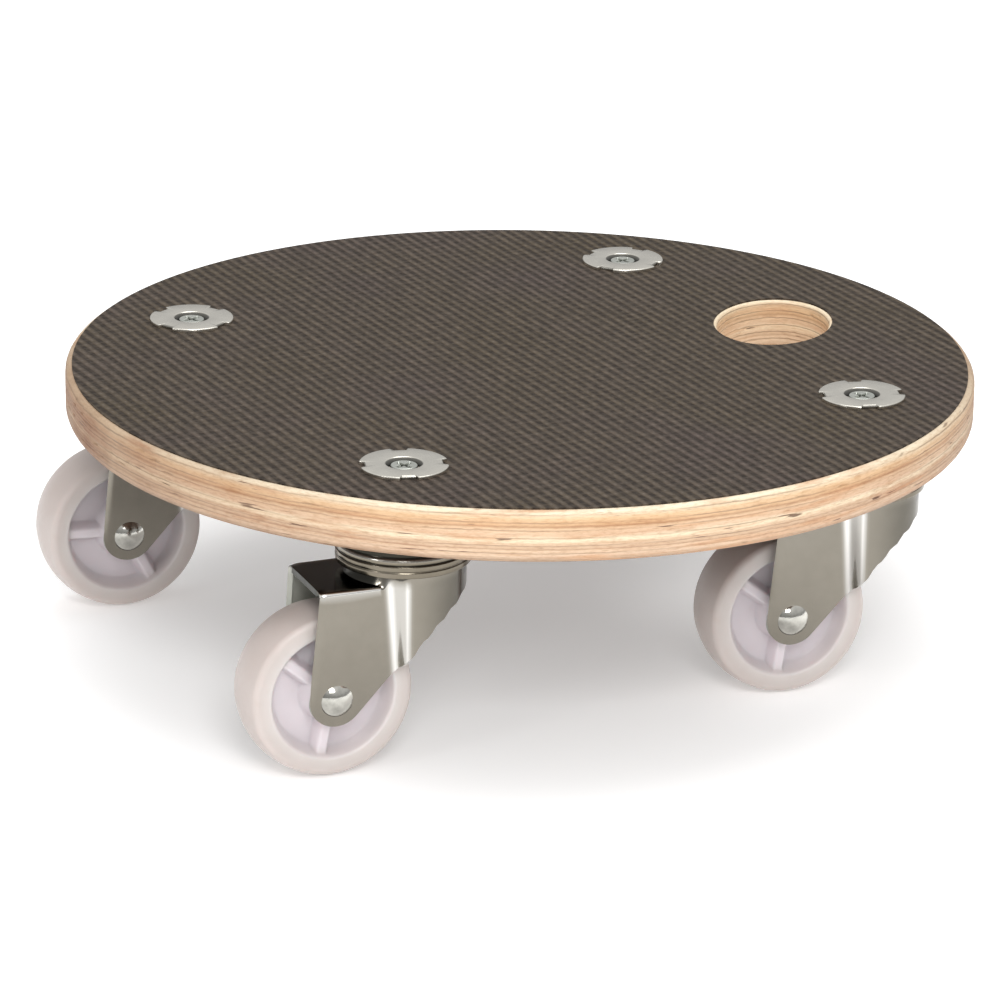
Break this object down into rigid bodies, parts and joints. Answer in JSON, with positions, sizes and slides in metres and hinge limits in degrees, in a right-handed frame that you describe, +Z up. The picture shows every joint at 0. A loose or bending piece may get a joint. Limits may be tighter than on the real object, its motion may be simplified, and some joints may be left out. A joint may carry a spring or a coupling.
{
  "type": "plant pot caddy",
  "caption": "Round plywood plant pot caddy with a mesh-film top, an oval finger hole and swivel casters in pressed forks.",
  "frame": {"origin": "on the floor, under the centre of the round deck", "axes": "+Z up; +X from the centre towards the finger hole; the casters stand on the diagonals between X and Y"},
  "size_m": [0.2722, 0.2722, 0.0892],
  "materials": {
    "plywood": "sanded plywood edge, unfinished",
    "mesh_film": "embossed wire-mesh phenolic film",
    "smooth_film": "smooth phenolic film",
    "zinc_plate": "bright zinc plate",
    "fork_zinc": "bright zinc plate on pressed sheet",
    "bolt_steel": "zinc plate",
    "rivet_steel": "bright headed rivet",
    "ball_steel": "polished",
    "nylon": "natural white nylon, satin"
  },
  "bodies": {
    "deck": {"deck_plywood": "plywood", "deck_top_film": "mesh_film", "deck_underside_film": "smooth_film", "tee_nut_front_left": "zinc_plate", "deck_bolt_front_left": "bolt_steel", "kingpin_front_left": "zinc_plate", "swivel_cap_front_left": "zinc_plate", "lower_race_front_left": "zinc_plate", "tee_nut_front_right": "zinc_plate", "deck_bolt_front_right": "bolt_steel", "kingpin_front_right": "zinc_plate", "swivel_cap_front_right": "zinc_plate", "lower_race_front_right": "zinc_plate", "tee_nut_back_left": "zinc_plate", "deck_bolt_back_left": "bolt_steel", "kingpin_back_left": "zinc_plate", "swivel_cap_back_left": "zinc_plate", "lower_race_back_left": "zinc_plate", "tee_nut_back_right": "zinc_plate", "deck_bolt_back_right": "bolt_steel", "kingpin_back_right": "zinc_plate", "swivel_cap_back_right": "zinc_plate", "lower_race_back_right": "zinc_plate"},
    "fork_front_left": {"fork_front_left": "fork_zinc", "upper_balls_front_left": "ball_steel", "lower_balls_front_left": "ball_steel", "axle_rivet_front_left": "rivet_steel", "axle_sleeve_front_left": "bolt_steel"},
    "wheel_front_left": {"wheel_front_left": "nylon"},
    "fork_front_right": {"fork_front_right": "fork_zinc", "upper_balls_front_right": "ball_steel", "lower_balls_front_right": "ball_steel", "axle_rivet_front_right": "rivet_steel", "axle_sleeve_front_right": "bolt_steel"},
    "wheel_front_right": {"wheel_front_right": "nylon"},
    "fork_back_left": {"fork_back_left": "fork_zinc", "upper_balls_back_left": "ball_steel", "lower_balls_back_left": "ball_steel", "axle_rivet_back_left": "rivet_steel", "axle_sleeve_back_left": "bolt_steel"},
    "wheel_back_left": {"wheel_back_left": "nylon"},
    "fork_back_right": {"fork_back_right": "fork_zinc", "upper_balls_back_right": "ball_steel", "lower_balls_back_right": "ball_steel", "axle_rivet_back_right": "rivet_steel", "axle_sleeve_back_right": "bolt_steel"},
    "wheel_back_right": {"wheel_back_right": "nylon"}
  },
  "joints": [
    {"name": "swivel_front_left", "type": "hinge", "parent": "deck", "child": "fork_front_left", "pos_m": [-0.0747, -0.0747, 0.0646], "axis": [0, 0, 1], "continuous": true},
    {"name": "roll_front_left", "type": "hinge", "parent": "fork_front_left", "child": "wheel_front_left", "pos_m": [-0.09892, -0.07271, 0.025], "axis": [-0.0819, -0.9966, 0], "continuous": true},
    {"name": "swivel_front_right", "type": "hinge", "parent": "deck", "child": "fork_front_right", "pos_m": [0.0747, -0.0747, 0.0646], "axis": [0, 0, 1], "continuous": true},
    {"name": "roll_front_right", "type": "hinge", "parent": "fork_front_right", "child": "wheel_front_right", "pos_m": [0.05064, -0.07128, 0.025], "axis": [-0.1409, -0.99, 0], "continuous": true},
    {"name": "swivel_back_left", "type": "hinge", "parent": "deck", "child": "fork_back_left", "pos_m": [-0.0747, 0.0747, 0.0646], "axis": [0, 0, 1], "continuous": true},
    {"name": "roll_back_left", "type": "hinge", "parent": "fork_back_left", "child": "wheel_back_left", "pos_m": [-0.09888, 0.07707, 0.025], "axis": [-0.0976, -0.9952, 0], "continuous": true},
    {"name": "swivel_back_right", "type": "hinge", "parent": "deck", "child": "fork_back_right", "pos_m": [0.0747, 0.0747, 0.0646], "axis": [0, 0, 1], "continuous": true},
    {"name": "roll_back_right", "type": "hinge", "parent": "fork_back_right", "child": "wheel_back_right", "pos_m": [0.05054, 0.07728, 0.025], "axis": [-0.1063, -0.9943, 0], "continuous": true}
  ]
}
